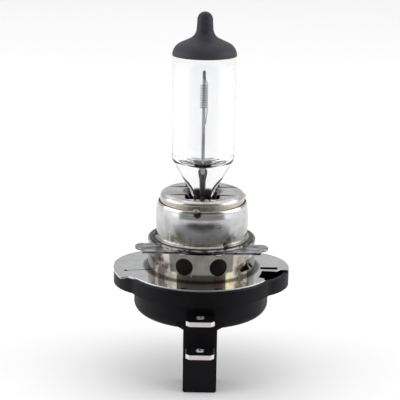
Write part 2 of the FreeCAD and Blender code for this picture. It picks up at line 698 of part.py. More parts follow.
def make_welds():
    """Weld nuggets: rim of the sleeve, lip on the collar, and the leads on the terminals."""
    radius, height = size("weld_radius"), size("weld_thick")
    rim = [weld_spot(on_circle(size("sleeve_rim_radius") - 0.15, angle, size("sleeve_top")),
                     UP, radius, height) for angle in (262.5, 22.5, 142.5)]
    shape_object("sleeve_welds", Part.makeCompound(rim))
    lip_level = size("seat_top")
    lip = [weld_spot(on_circle(size("sleeve_lip_radius") - 0.3, angle, lip_level + 0.25),
                     on_circle(1, angle), radius, height) for angle in (302, 62, 182)]
    shape_object("lip_welds", Part.makeCompound(lip))
    side = (size("blade_half_wide") - 0.1 + size("tail_gap")) / 2
    top = size("upper_blade_top")
    face = -size("riser_front") + size("blade_thick")
    joints = [weld_spot(Vector(-side, -7.2, top), UP, radius, 2 * size("lead_radius") + 0.1),
              weld_spot(Vector(side, face, -10.0), Vector(0, 1, 0), radius,
                        2 * size("lead_radius") + 0.1)]
    shape_object("lead_welds", Part.makeCompound(joints))


# --- assembly ------------------------------------------------------------------------------------
make_glass()
make_coating()
make_filament()
make_supports()
make_foils()
make_inner_cap()
make_sleeve()
make_collar()
make_seat_ring()
make_prefocus_ring()
make_flange_plate()
moulding = make_housing_body()
terminals = make_terminals()
make_insulator()
make_leads()
make_welds()
doc.recompute()

# the blades are moulded in, so the housing is the moulding less both terminals
terminal_pair = doc.addObject("Part::MultiFuse", "terminal_pair")
terminal_pair.Shapes = list(terminals)
housing = doc.addObject("Part::Cut", "base_housing")
housing.Base = moulding
housing.Tool = terminal_pair
doc.recompute()

NODES = ["glass_envelope", "anti_glare_coating", "filament_coil", "long_support_wire",
         "short_support_wire", "long_seal_foil", "short_seal_foil", "long_outer_lead",
         "short_outer_lead", "inner_cap", "outer_sleeve", "sleeve_welds", "vented_collar",
         "seat_ring", "lip_welds", "prefocus_ring", "flange_plate", "base_housing", "upper_terminal",
         "lower_terminal", "lead_welds", "insulator_disc"]

for item in doc.Objects:
    if {"Invalid", "Error"} & set(item.State):
        raise RuntimeError(f"{item.Name} failed: {item.State}")
for node in NODES:
    piece = doc.getObjectsByLabel(node)[0]
    shape = piece.Shape
    if shape.isNull() or not shape.isValid() or shape.Volume <= 0:
        raise RuntimeError(f"{node} has no sound shape")
    print(f"{node:20} solids {len(shape.Solids)}  volume {shape.Volume:9.2f} mm3")
    shape.exportStep(f"parts/{node}.step")
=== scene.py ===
import math

import bmesh
import bpy
from mathutils import Matrix, Vector


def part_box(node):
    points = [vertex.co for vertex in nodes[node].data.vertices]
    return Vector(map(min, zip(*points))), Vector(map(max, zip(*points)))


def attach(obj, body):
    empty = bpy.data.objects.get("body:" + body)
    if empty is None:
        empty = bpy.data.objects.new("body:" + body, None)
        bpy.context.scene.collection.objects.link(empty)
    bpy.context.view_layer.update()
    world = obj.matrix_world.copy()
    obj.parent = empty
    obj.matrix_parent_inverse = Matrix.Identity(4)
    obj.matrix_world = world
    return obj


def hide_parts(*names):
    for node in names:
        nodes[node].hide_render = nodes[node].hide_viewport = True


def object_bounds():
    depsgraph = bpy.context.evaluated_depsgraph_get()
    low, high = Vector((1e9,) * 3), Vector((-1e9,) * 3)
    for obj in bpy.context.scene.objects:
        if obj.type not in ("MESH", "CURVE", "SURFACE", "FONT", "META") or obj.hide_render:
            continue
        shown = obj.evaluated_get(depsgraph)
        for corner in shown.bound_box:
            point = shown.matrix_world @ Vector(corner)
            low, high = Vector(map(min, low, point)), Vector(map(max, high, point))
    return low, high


# A headlight bulb: clear quartz burner, steel cap, spring flange and plastic base.
# Lengths below are millimetres in the part's frame, turned into metres by MM.

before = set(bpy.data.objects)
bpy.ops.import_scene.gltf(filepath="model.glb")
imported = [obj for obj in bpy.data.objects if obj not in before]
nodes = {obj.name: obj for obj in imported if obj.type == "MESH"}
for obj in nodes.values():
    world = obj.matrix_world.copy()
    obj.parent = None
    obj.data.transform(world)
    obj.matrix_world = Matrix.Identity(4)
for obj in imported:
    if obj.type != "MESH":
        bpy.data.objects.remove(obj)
cad_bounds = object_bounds()

MM = 0.001
TAU = 2 * math.pi
BODY = "root"


def node_box(name):
    """Lowest and highest corner of a CAD node, in millimetres."""
    low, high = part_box(name)
    return low / MM, high / MM


# --- mesh helpers --------------------------------------------------------------------------------
CAD_WELD = 2e-6
FLAT_ANGLE, SHARP_ANGLE = math.radians(1.5), math.radians(30)


def finished(name, bm):
    """An object in the scene with the mesh as it stands, smooth shaded."""
    mesh = bpy.data.meshes.new(name)
    bm.to_mesh(mesh)
    bm.free()
    for polygon in mesh.polygons:
        polygon.use_smooth = True
    piece = bpy.data.objects.new(name, mesh)
    bpy.context.scene.collection.objects.link(piece)
    return piece


def new_object(name, bm, weld=True):
    """A finished object whose faces all point outwards."""
    if weld:
        bmesh.ops.remove_doubles(bm, verts=bm.verts, dist=1e-7)
    bmesh.ops.recalc_face_normals(bm, faces=bm.faces)
    return finished(name, bm)


def apply_modifiers(piece):
    """Turns the modified shape into the piece's own mesh."""
    graph = bpy.context.evaluated_depsgraph_get()
    shaped = bpy.data.meshes.new_from_object(piece.evaluated_get(graph))
    piece.modifiers.clear()
    piece.data = shaped


def lathe(name, profile, count):
    """Turns a closed outline of (radius, level) points about the axis."""
    bm = bmesh.new()
    rings = []
    for radius, level in profile:
        rings.append([bm.verts.new((radius * MM * math.cos(TAU * k / count),
                                    radius * MM * math.sin(TAU * k / count), level * MM))
                      for k in range(count)])
    for lower, upper in zip(rings, rings[1:] + rings[:1]):
        join_rings(bm, lower, upper)
    return new_object(name, bm)


def join_rings(bm, lower, upper):
    """Faces between two rings of corners; a ring of one corner is a point."""
    if len(lower) == 1 and len(upper) == 1:
        return
    count = max(len(lower), len(upper))
    for k in range(count):
        after = (k + 1) % count
        corners = [lower[k % len(lower)], lower[after % len(lower)],
                   upper[after % len(upper)], upper[k % len(upper)]]
        corners = [c for i, c in enumerate(corners) if c not in corners[:i]]
        if len(corners) > 2:
            bm.faces.new(corners)


def arc(centre, radius, first, last, steps=10):
    """Points of a round stretch of an outline, angles in degrees."""
    return [(centre[0] + radius * math.cos(math.radians(first + (last - first) * i / steps)),
             centre[1] + radius * math.sin(math.radians(first + (last - first) * i / steps)))
            for i in range(steps + 1)]


def smooth_line(points, steps=6):
    """A Catmull-Rom line through the points of an open outline."""
    points = [Vector(p) for p in points]
    ends = [points[0]] + points + [points[-1]]
    line = []
    for a, b, c, d in zip(ends, ends[1:], ends[2:], ends[3:]):
        for i in range(steps):
            t = i / steps
            line.append(tuple(0.5 * (2 * b + (c - a) * t + (2 * a - 5 * b + 4 * c - d) * t ** 2
                                     + (3 * b - a - 3 * c + d) * t ** 3)))
    return line + [tuple(points[-1])]


def tube(name, line, radius, count=10):
    """A round wire with closed ends that follows a line of points."""
    bm = bmesh.new()
    line = [Vector(p) for p in line]
    side = Vector((0, 1, 0))
    rings = []
    for before, here, after in zip(line[:1] + line, line, line[1:] + line[-1:]):
        along = (after - before).normalized()
        side = (side - along * side.dot(along)).normalized()
        over = along.cross(side)
        rings.append([bm.verts.new((here + radius * (side * math.cos(TAU * k / count)
                                                     + over * math.sin(TAU * k / count))) * MM)
                      for k in range(count)])
    rings = [[bm.verts.new(line[0] * MM)]] + rings + [[bm.verts.new(line[-1] * MM)]]
    for lower, upper in zip(rings, rings[1:]):
        join_rings(bm, lower, upper)
    return new_object(name, bm, weld=False)


def eased_copy(node, name, width, segments=3):
    """The CAD node's own shape with its sharp edges eased, as a piece that stands for it."""
    bm = bmesh.new()
    bm.from_mesh(nodes[node].data)
    bmesh.ops.remove_doubles(bm, verts=bm.verts, dist=CAD_WELD)
    bmesh.ops.dissolve_limit(bm, angle_limit=FLAT_ANGLE, verts=bm.verts, edges=bm.edges)
    piece = new_object(name, bm, weld=False)
    bevel = piece.modifiers.new("ease", "BEVEL")
    bevel.width = width * MM
    bevel.segments = segments
    bevel.limit_method = "ANGLE"
    bevel.angle_limit = SHARP_ANGLE
    bevel.use_clamp_overlap = True
    even = piece.modifiers.new("even", "WEIGHTED_NORMAL")
    even.weight = 100
    apply_modifiers(piece)
    return place(piece, node)


def place(piece, *replaced, slot=None):
    """Rides the piece on the bulb, in place of the CAD nodes it stands for."""
    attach(piece, BODY)
    if replaced:
        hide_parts(*replaced)
    return piece


# --- material helpers ----------------------------------------------------------------------------
class Material:
    """A node material around one Principled shader, in object coordinates of millimetres."""

    def __init__(self, name, **sockets):
        self.material = bpy.data.materials.new(name)
        self.material.use_nodes = True
        self.tree = self.material.node_tree
        self.shader = next(n for n in self.tree.nodes if n.type == "BSDF_PRINCIPLED")
        for socket, value in sockets.items():
            self.shader.inputs[socket.replace("_", " ")].default_value = value
        self.place = self.add("ShaderNodeTexCoord").outputs["Object"]

    def add(self, kind, **values):
        node = self.tree.nodes.new(kind)
        for prop, value in values.items():
            setattr(node, prop, value)
        return node

    def link(self, output, target):
        self.tree.links.new(output, target)

    def set(self, node, **inputs):
        for socket, value in inputs.items():
            target = node.inputs[socket.replace("_", " ")]
            if isinstance(value, bpy.types.NodeSocket):
                self.link(value, target)
            else:
                target.default_value = value
        return node

    def stretched(self, x=1.0, y=1.0, z=1.0):
        """Object coordinates in millimetres, stretched along each axis."""
        node = self.add("ShaderNodeMapping")
        self.set(node, Vector=self.place, Scale=(x / MM, y / MM, z / MM))
        return node.outputs["Vector"]

    def noise(self, scale, detail=3.0, rough=0.5, stretch=(1, 1, 1), warp=0.0):
        node = self.add("ShaderNodeTexNoise")
        self.set(node, Vector=self.stretched(*stretch), Scale=scale, Detail=detail,
                 Roughness=rough, Distortion=warp)
        return node.outputs["Fac"]

    def axis_value(self, axis):
        node = self.add("ShaderNodeSeparateXYZ")
        self.set(node, Vector=self.stretched())
        return node.outputs[axis]

    def radius(self):
        """Distance from the bulb axis, in millimetres."""
        flat = self.add("ShaderNodeVectorMath", operation="MULTIPLY")
        self.set(flat, Vector=self.stretched())
        flat.inputs[1].default_value = (1, 1, 0)
        length = self.add("ShaderNodeVectorMath", operation="LENGTH")
        self.link(flat.outputs[0], length.inputs[0])
        return length.outputs["Value"]

    def math(self, operation, first, second=0.0):
        node = self.add("ShaderNodeMath", operation=operation)
        for target, value in zip(node.inputs, (first, second)):
            if isinstance(value, bpy.types.NodeSocket):
                self.link(value, target)
            else:
                target.default_value = value
        return node.outputs[0]

    def band(self, value, low, high, start=0.0, end=1.0):
        """A smooth step: start below low, end above high."""
        node = self.add("ShaderNodeMapRange", interpolation_type="SMOOTHSTEP")
        self.set(node, Value=value, From_Min=low, From_Max=high, To_Min=start, To_Max=end)
        return node.outputs["Result"]

    def spot(self, centre, size):
        """1 at a point of the surface, falling to 0 at size millimetres from it."""
        node = self.add("ShaderNodeVectorMath", operation="DISTANCE")
        self.set(node, Vector=self.stretched())
        node.inputs[1].default_value = centre
        return self.band(node.outputs["Value"], 0.0, size, 1.0, 0.0)

    def mix(self, factor, first, second):
        node = self.add("ShaderNodeMix", data_type="RGBA")
        for index, value in ((0, factor), (6, first), (7, second)):
            if isinstance(value, bpy.types.NodeSocket):
                self.link(value, node.inputs[index])
            else:
                node.inputs[index].default_value = value if index == 0 else (*value, 1)
        return node.outputs[2]

    def bump(self, height, strength, distance=0.05):
        node = self.add("ShaderNodeBump")
        self.set(node, Height=height, Strength=strength, Distance=distance * MM)
        self.link(node.outputs["Normal"], self.shader.inputs["Normal"])

    def colour(self, value):
        self.link(value, self.shader.inputs["Base Color"])

    def roughness(self, value):
        self.link(value, self.shader.inputs["Roughness"])

    def on(self, *pieces):
        for piece in pieces:
            piece.data.materials.clear()
            piece.data.materials.append(self.material)
        return self


def metal(name, light, dark, polish, dull, grain=(1, 1, 1), scale=1.2, relief=0.06):
    """Bare metal: cloudy colour, uneven polish and a fine grain along one direction."""
    made = Material(name, Metallic=1.0)
    cloud = made.noise(0.35, 4, 0.6)
    grain_noise = made.noise(scale * 6, 5, 0.65, grain)
    base = made.mix(made.band(cloud, 0.35, 0.7), light, dark)
    made.base = made.mix(made.band(grain_noise, 0.35, 0.8, 0.0, 0.35), base, dark)
    made.colour(made.base)
    made.roughness(made.band(made.math("ADD", cloud, grain_noise), 0.7, 1.4, polish, dull))
    made.bump(grain_noise, relief, 0.02)
    return made


# --- materials -----------------------------------------------------------------------------------
SLIT_MIDDLE = 2.725
COLLAR_FOOT = node_box("vented_collar")[0].z
COLLAR_RADIUS = node_box("vented_collar")[1].x
# middles of the stains and marks on the bright metal
LIP_BURN, LIP_STAIN = (4.6, -6.8, 2.0), (-4.0, -7.1, 2.4)
RIM_HALO, SCRATCH = (-0.8, -8.0, 6.75), (3.1, -7.6, 4.25)
COLLAR_STRAW, COLLAR_PURPLE = (4.4, -8.4, -4.6), (3.0, -9.0, -4.7)
COLLAR_BLOTCHES = ((-6.6, -6.8, -3.2), (7.2, -6.2, -3.2), (-8.0, -5.0, -1.2))
PLATE_STRAW = (5.2, -9.6, -4.9)


def quartz():
    """Clear quartz with a trace of haze, dimmer at the pinch."""
    made = Material("clear_quartz", Transmission_Weight=1.0, IOR=1.458)
    haze = made.noise(0.5, 4, 0.6)
    level = made.axis_value("Z")
    low = made.band(level, 9.0, 16.0, 1.0, 0.0)
    clear = made.mix(made.band(haze, 0.4, 0.8), (0.970, 0.971, 0.977), (0.952, 0.956, 0.966))
    made.colour(made.mix(made.math("MULTIPLY", low, 0.5), clear, (0.93, 0.92, 0.9)))
    made.roughness(made.band(haze, 0.5, 0.9, 0.0, 0.02))
    made.bump(made.noise(0.25, 2, 0.4), 0.03, 0.2)
    return made


def anti_glare():
    """Matt dark coat, a little paler along its lower edge."""
    made = Material("anti_glare_coat", Specular_IOR_Level=0.28)
    mottle = made.noise(1.3, 5, 0.6)
    fine = made.noise(14, 3, 0.6)
    level = made.axis_value("Z")
    low_band = made.band(level, 33.3, 35.2, 1.0, 0.0)
    base = made.mix(made.band(mottle, 0.35, 0.7), (0.024, 0.0215, 0.031), (0.034, 0.031, 0.042))
    made.colour(made.mix(made.math("MULTIPLY", low_band, 0.55), base, (0.048, 0.045, 0.056)))
    made.roughness(made.band(fine, 0.3, 0.7, 0.46, 0.62))
    made.bump(made.math("ADD", mottle, fine), 0.16, 0.04)
    return made


def sleeve_metal():
    """Satin steel, tarnished at the foot."""
    made = metal("sleeve_satin_steel", (0.60, 0.60, 0.61), (0.40, 0.40, 0.41), 0.12, 0.24,
                 (0.5, 0.5, 3.0), 1.0, 0.05)
    level = made.axis_value("Z")
    streaks = made.noise(1.6, 5, 0.7, (1.6, 1.6, 0.12))
    tarnish = made.math("MULTIPLY", made.band(level, 1.2, 4.6, 0.9, 0.0),
                        made.band(streaks, 0.3, 0.62, 0.35, 1.0))
    colour = made.mix(tarnish, made.base, (0.24, 0.235, 0.20))
    # a burnt olive patch and a fainter one low at the front, a dark halo at the rim, a scratch
    colour = made.mix(made.math("MULTIPLY", made.spot(LIP_BURN, 1.7), 0.92), colour,
                      (0.05, 0.046, 0.02))
    colour = made.mix(made.math("MULTIPLY", made.spot(LIP_STAIN, 1.6), 0.6), colour,
                      (0.16, 0.15, 0.09))
    colour = made.mix(made.band(made.spot(RIM_HALO, 1.0), 0.0, 0.5), colour,
                      (0.05, 0.047, 0.042))
    scratch = made.math("MULTIPLY", made.spot(SCRATCH, 1.3),
                        made.band(made.noise(2.2, 4, 0.7, (0.5, 0.5, 3.6)), 0.5, 0.6))
    made.colour(made.mix(scratch, colour, (0.06, 0.055, 0.05)))
    return made


def cap_metal():
    """Satin steel with a golden rim, with painted shade round the opening and the slits."""
    made = metal("inner_cap_satin", (0.60, 0.59, 0.58), (0.42, 0.41, 0.40), 0.16, 0.34,
                 (1, 1, 2.5), 1.0, 0.05)
    level = made.axis_value("Z")
    gold = made.math("MULTIPLY", made.band(level, 7.4, 8.5, 1.0, 0.0),
                     made.band(made.noise(0.5, 3), 0.2, 0.6, 0.5, 1.0))
    colour = made.mix(gold, made.base, (0.46, 0.42, 0.33))
    # painted shade round the opening and along the four slits
    aside = made.math("ABSOLUTE", made.axis_value("Y"))
    from_slit = made.math("ABSOLUTE", made.math("SUBTRACT", aside, SLIT_MIDDLE))
    slits = made.math("MULTIPLY", made.band(from_slit, 0.2, 0.55, 1.0, 0.0),
                      made.band(made.radius(), 4.2, 6.6, 1.0, 0.0))
    opening = made.band(made.radius(), 3.1, 3.8, 1.0, 0.0)
    made.colour(made.mix(made.math("MAXIMUM", slits, opening), colour, (0.035, 0.035, 0.04)))
    return made


def collar_metal():
    """Warm polished metal with heat tints and dark blotches, painted shade inside and a painted shadow
    round the foot.
    """
    made = metal("collar_polished", (0.62, 0.595, 0.53), (0.46, 0.43, 0.375), 0.05, 0.16,
                 (1, 1, 0.3), 0.8, 0.03)
    level = made.axis_value("Z")
    foot = made.math("MULTIPLY", made.band(level, -4.8, -2.6, 1.0, 0.0),
                     made.band(made.noise(0.4, 3), 0.25, 0.6, 0.3, 1.0))
    colour = made.mix(made.math("MULTIPLY", foot, 0.6), made.base, (0.22, 0.18, 0.15))
    # straw and purple heat tint where the collar meets the plate, at the front right
    straw = made.math("MULTIPLY", made.spot(COLLAR_STRAW, 3.6),
                      made.band(made.noise(0.9, 3, 0.6), 0.35, 0.6))
    colour = made.mix(straw, colour, (0.60, 0.56, 0.34))
    purple = made.math("MULTIPLY", made.spot(COLLAR_PURPLE, 1.7), 0.7)
    colour = made.mix(purple, colour, (0.34, 0.17, 0.22))
    # dark brown blotches at both sides of the front
    blotch_noise = made.noise(0.75, 4, 0.65)
    for centre in COLLAR_BLOTCHES:
        patch = made.math("MULTIPLY", made.spot(centre, 3.1), made.band(blotch_noise, 0.36, 0.62, 0.3, 1.0))
        colour = made.mix(made.math("MINIMUM", made.math("MULTIPLY", patch, 2.0), 0.9), colour,
                          (0.05, 0.04, 0.03))
    # painted shadow: a dark line round the collar's foot, where it meets the plate
    gap_shadow = made.band(level, COLLAR_FOOT + 0.32, COLLAR_FOOT + 0.75, 0.98, 0.0)
    colour = made.mix(gap_shadow, colour, (0.03, 0.018, 0.016))
    # painted shade: everything inside the collar's outer wall is darkened
    inside = made.band(made.radius(), COLLAR_RADIUS - 0.1, COLLAR_RADIUS - 0.02, 1.0, 0.0)
    made.colour(made.mix(inside, colour, (0.015, 0.012, 0.012)))
    return made


def plate_metal():
    """Mirror finish with a straw tint and a painted shadow round the collar's foot."""
    made = metal("plate_mirror", (0.62, 0.625, 0.635), (0.52, 0.52, 0.53), 0.02, 0.09,
                 (0.4, 2.5, 1), 0.6, 0.015)
    straw = made.math("MULTIPLY", made.spot(PLATE_STRAW, 2.6),
                      made.band(made.noise(0.9, 3, 0.6), 0.4, 0.6))
    colour = made.mix(straw, made.base, (0.56, 0.53, 0.34))
    # painted shadow: a dark ring on the plate round the collar's foot
    gap_shadow = made.band(made.radius(), COLLAR_RADIUS + 0.45, COLLAR_RADIUS + 1.2, 0.96, 0.0)
    made.colour(made.mix(gap_shadow, colour, (0.03, 0.02, 0.018)))
    return made


def moulded_black():
    """Black moulded plastic with a fine surface."""
    made = Material("base_black_plastic", Specular_IOR_Level=0.12)
    cloud = made.noise(0.3, 4, 0.6)
    fine = made.noise(9, 4, 0.7)
    made.colour(made.mix(made.band(cloud, 0.35, 0.7), (0.0038, 0.0036, 0.0048),
                         (0.0062, 0.0058, 0.0085)))
    made.roughness(made.band(made.math("ADD", cloud, fine), 0.7, 1.4, 0.42, 0.62))
    made.bump(fine, 0.1, 0.03)
    return made


def insulator_board():
    """Brown flaky board."""
    made = Material("insulator_board")
    flakes = made.noise(2.0, 5, 0.7)
    made.colour(made.mix(made.band(flakes, 0.35, 0.7), (0.05, 0.04, 0.03), (0.1, 0.085, 0.07)))
    made.roughness(made.band(flakes, 0.3, 0.7, 0.45, 0.75))
    made.bump(flakes, 0.2, 0.05)
    return made


def sheared_tip():
    """The pale sheared edge at the end of a blade."""
    made = Material("terminal_sheared_tip", Metallic=0.35)
    grain = made.noise(4.0, 5, 0.7, (3.0, 1, 0.4))
    made.colour(made.mix(made.band(grain, 0.3, 0.7), (0.92, 0.86, 0.86), (0.72, 0.66, 0.66)))
    made.roughness(made.band(grain, 0.3, 0.7, 0.45, 0.65))
    made.bump(grain, 0.2, 0.03)
    return made


def ring_metal():
    """Bright steel that is smudged and scorched in streaks."""
    made = metal("ring_scorched_steel", (0.50, 0.50, 0.515), (0.30, 0.30, 0.32), 0.1, 0.3,
                 (1, 1, 1), 1.4, 0.12)
    smudge = made.band(made.noise(0.9, 5, 0.7, (0.45, 1.3, 1), 0.8), 0.42, 0.6)
    made.colour(made.mix(smudge, made.base, (0.055, 0.05, 0.055)))
    return made


def seat_metal():
    """Black at the sides and the back, scuffed to bare metal along the front."""
    made = metal("seat_ring_oxide", (0.022, 0.02, 0.022), (0.035, 0.03, 0.032), 0.22, 0.42)
    front = made.band(made.axis_value("Y"), -6.6, -3.0, 1.0, 0.0)
    scuff = made.band(made.noise(0.8, 5, 0.7, (0.6, 1, 1), 0.6), 0.42, 0.58)
    bare = made.math("MULTIPLY", made.math("MULTIPLY", front, scuff),
                     made.band(made.radius(), 8.55, 8.9))
    made.colour(made.mix(bare, made.base, (0.34, 0.33, 0.34)))
    return made


def plain_metals():
    """The finishes of the small parts, by name."""
    return {
        "tungsten": metal("tungsten_wire", (0.15, 0.15, 0.16), (0.08, 0.08, 0.085), 0.28, 0.45,
                          (3, 3, 0.6), 2.0, 0.1),
        "molybdenum": metal("molybdenum_wire", (0.36, 0.36, 0.37), (0.24, 0.24, 0.25), 0.22, 0.4,
                            (3, 3, 0.5), 2.0, 0.1),
        "foot": metal("support_foot_dark", (0.10, 0.10, 0.105), (0.05, 0.05, 0.055), 0.35, 0.55),
        "lead": metal("lead_wire_dull", (0.46, 0.45, 0.43), (0.33, 0.32, 0.3), 0.3, 0.5),
        "weld": metal("weld_nugget", (0.25, 0.24, 0.23), (0.12, 0.115, 0.11), 0.28, 0.5,
                      (1, 1, 1), 2.0, 0.3),
        "blade": metal("terminal_tin", (0.66, 0.645, 0.64), (0.52, 0.51, 0.5), 0.1, 0.26,
                       (2.5, 0.4, 1), 1.2, 0.04),
    }


# --- glass burner --------------------------------------------------------------------------------
TUBE_RADIUS, TUBE_WALL = 5.46, 1.0
PINCH_HALF_THICK, PINCH_HALF_WIDE = 1.55, 5.1
PINCH_TOP, TAPER_TOP = 7.3, 15.25
SHOULDER_LEVEL, SHOULDER_RADIUS, SHOULDER_TURN = 32.7, 2.2, 65
NECK_RADIUS, NECK_FILLET, TIP_RADIUS, TIP_TOP = 1.37, 2.0, 1.27, 40.0
GLASS_INSET = 0.012
TAPER_POWER = 1.13
PINCH_SQUARENESS = 5.0
CAVITY_FLOOR, CAVITY_RISE = 13.5, 1.35
RING_COUNT = 144


def dome_profile(inset):
    """The glass's outer line from the shoulder to the tip."""
    turn = math.radians(SHOULDER_TURN)
    shoulder = SHOULDER_RADIUS - inset
    centre = (TUBE_RADIUS - SHOULDER_RADIUS, SHOULDER_LEVEL)
    points = arc(centre, shoulder, 0, SHOULDER_TURN, 12)
    fillet, neck = NECK_FILLET + inset, NECK_RADIUS - inset
    flank_x = neck + fillet - fillet * math.cos(turn)
    flank_level = points[-1][1] + (points[-1][0] - flank_x) / math.tan(turn)
    neck_level = flank_level + fillet * math.sin(turn)
    points += arc((neck + fillet, neck_level), fillet, 180 + SHOULDER_TURN, 180, 12)
    tip = TIP_RADIUS - inset
    points += arc((0, TIP_TOP - TIP_RADIUS), tip, 0, 90, 12)
    return points


def section_ring(bm, half_x, half_y, level, squareness=0.0):
    """One closed ring of the glass: a circle that turns into a rounded box as squareness grows."""
    ring = []
    power = 2.0 / (2.0 + squareness)
    for k in range(RING_COUNT):
        c, s = math.cos(TAU * k / RING_COUNT), math.sin(TAU * k / RING_COUNT)
        x = half_x * math.copysign(abs(c) ** power, c)
        y = half_y * math.copysign(abs(s) ** power, s)
        ring.append(bm.verts.new((x * MM, y * MM, level * MM)))
    return ring


def close_glass(bm, rings):
    for lower, upper in zip(rings, rings[1:]):
        join_rings(bm, lower, upper)
    bmesh.ops.recalc_face_normals(bm, faces=bm.faces)


def glass_levels(low):
    """Heights of the outer rings: close together in the taper, wide apart along the tube."""
    pinch = [low, low + 0.15, low + 0.5] + [low + 0.5 + 0.55 * i for i in range(1, 11)]
    taper = [PINCH_TOP - 0.6 + 0.3 * i for i in range(32)]
    tube_part = [17.0, 21.0, 25.0, 29.0, SHOULDER_LEVEL - 0.5]
    return sorted(set(pinch + taper + tube_part))


def glass_outside():
    """The pinched foot, the taper, the tube, the shoulder and the exhaust tip."""
    bm = bmesh.new()
    low = node_box("glass_envelope")[0].z
    rings = [[bm.verts.new((0, 0, low * MM))]]
    radius = TUBE_RADIUS - GLASS_INSET
    for level in glass_levels(low):
        t = min(max((level - PINCH_TOP) / (TAPER_TOP - PINCH_TOP), 0.0), 1.0)
        eased = t ** TAPER_POWER
        swell = eased * eased * (3 - 2 * eased)
        half_x = min(PINCH_HALF_THICK + (TUBE_RADIUS - PINCH_HALF_THICK) * swell, radius)
        half_y = min(PINCH_HALF_WIDE + (TUBE_RADIUS - PINCH_HALF_WIDE) * swell, radius)
        squareness = PINCH_SQUARENESS * max(1 - 1.15 * t, 0) ** 1.6
        # the foot's lowest edge is rounded over
        edge = min(1.0, 0.93 + (level - low) * 0.35)
        rings.append(section_ring(bm, half_x * edge, half_y * edge, level, squareness))
    for x, level in dome_profile(GLASS_INSET):
        rings.append(section_ring(bm, x, x, level) if x > 1e-3
                     else [bm.verts.new((0, 0, level * MM))])
    close_glass(bm, rings)
    return bm


def saddle_ring(bm, reach, share):
    """A ring of the gas space's floor, which rises more to the sides than to front and back."""
    ring = []
    bowl = 1.1 * (1 - math.cos(share * math.pi / 2)) ** 2
    for k in range(RING_COUNT):
        c, s = math.cos(TAU * k / RING_COUNT), math.sin(TAU * k / RING_COUNT)
        rise = CAVITY_RISE * (0.75 * share ** 1.1 * abs(c) + 0.55 * share * share * abs(s)) + bowl
        ring.append(bm.verts.new((reach * c * MM, reach * s * MM, (CAVITY_FLOOR + rise) * MM)))
    return ring


def gas_space():
    """The closed inner surface of the glass, which faces inwards."""
    bm = bmesh.new()
    bore = TUBE_RADIUS - TUBE_WALL
    rings = [[bm.verts.new((0, 0, CAVITY_FLOOR * MM))]]
    floor_steps = 14
    for i in range(1, floor_steps + 1):
        share = i / floor_steps
        rings.append(saddle_ring(bm, bore * math.sin(share * math.pi / 2), share))
    for level in (17.5, 20.0, 24.0, 28.0, SHOULDER_LEVEL):
        rings.append(section_ring(bm, bore, bore, level))
    dome = SHOULDER_RADIUS - TUBE_WALL + 0.5
    top = SHOULDER_LEVEL + dome
    neck = [(1.4, top + 0.35), (0.45, top + 1.5)]
    for x, level in arc((bore - dome, SHOULDER_LEVEL), dome, 8, 90, 10) + neck:
        rings.append(section_ring(bm, x, x, level))
    rings.append([bm.verts.new((0, 0, (top + 3.2) * MM))])
    close_glass(bm, rings)
    bmesh.ops.reverse_faces(bm, faces=bm.faces)
    return bm


def make_glass():
    bm = glass_outside()
    hollow = gas_space()
    hollow_mesh = bpy.data.meshes.new("gas_space")
    hollow.to_mesh(hollow_mesh)
    hollow.free()
    bm.from_mesh(hollow_mesh)
    bpy.data.meshes.remove(hollow_mesh)
    return place(finished("quartz_bulb", bm), "glass_envelope", slot="quartz_glass")


FOOT_LOW, FOOT_LENGTH, FOOT_GIRTH = 8.6, 4.3, 0.31


def make_support_feet():
    """The flattened, darkened feet of both support wires, where they meet the seal foils."""
    bm = bmesh.new()
    low, high = node_box("long_seal_foil")
    offset = (low.y + high.y) / 2
    count, steps = 20, 16
    for y in (-offset, offset):
        rings = []
        for i in range(steps + 1):
            s = i / steps
            level = FOOT_LOW + FOOT_LENGTH * s
            girth = FOOT_GIRTH + 0.17 * math.sin(math.pi * s) ** 0.6 + 0.03 * math.sin(9 * s)
            rings.append([bm.verts.new((girth * MM * math.cos(TAU * k / count),
                                        (y + 0.8 * girth * math.sin(TAU * k / count)) * MM,
                                        level * MM)) for k in range(count)])
        ends = [[bm.verts.new((0, y * MM, level * MM))] for level in (FOOT_LOW, FOOT_LOW + FOOT_LENGTH)]
        rings = [ends[0]] + rings + [ends[1]]
        for lower, upper in zip(rings, rings[1:]):
            join_rings(bm, lower, upper)
    return place(new_object("support_feet", bm, weld=False), slot="molybdenum")


COIL_RADIUS, COIL_WIRE, COIL_TURNS = 0.635, 0.07, 10
COIL_LOW, COIL_TOP = 23.5, 27.7
TURN_STEPS, TAIL_OFFSET = 28, 0.33


def make_coil():
    """The wound filament, open enough to see between its turns, and its two straight tails."""
    low, high = node_box("filament_coil")
    steps = COIL_TURNS * TURN_STEPS
    line = [(TAIL_OFFSET, 0, low.z + COIL_WIRE)]
    for i in range(steps + 1):
        angle = TAU * i / TURN_STEPS
        line.append((COIL_RADIUS * math.cos(angle), COIL_RADIUS * math.sin(angle),
                     COIL_LOW + (COIL_TOP - COIL_LOW) * i / steps))
    line.append((0, 0, high.z - COIL_WIRE))
    return place(tube("tungsten_coil", line, COIL_WIRE), "filament_coil", slot="tungsten")


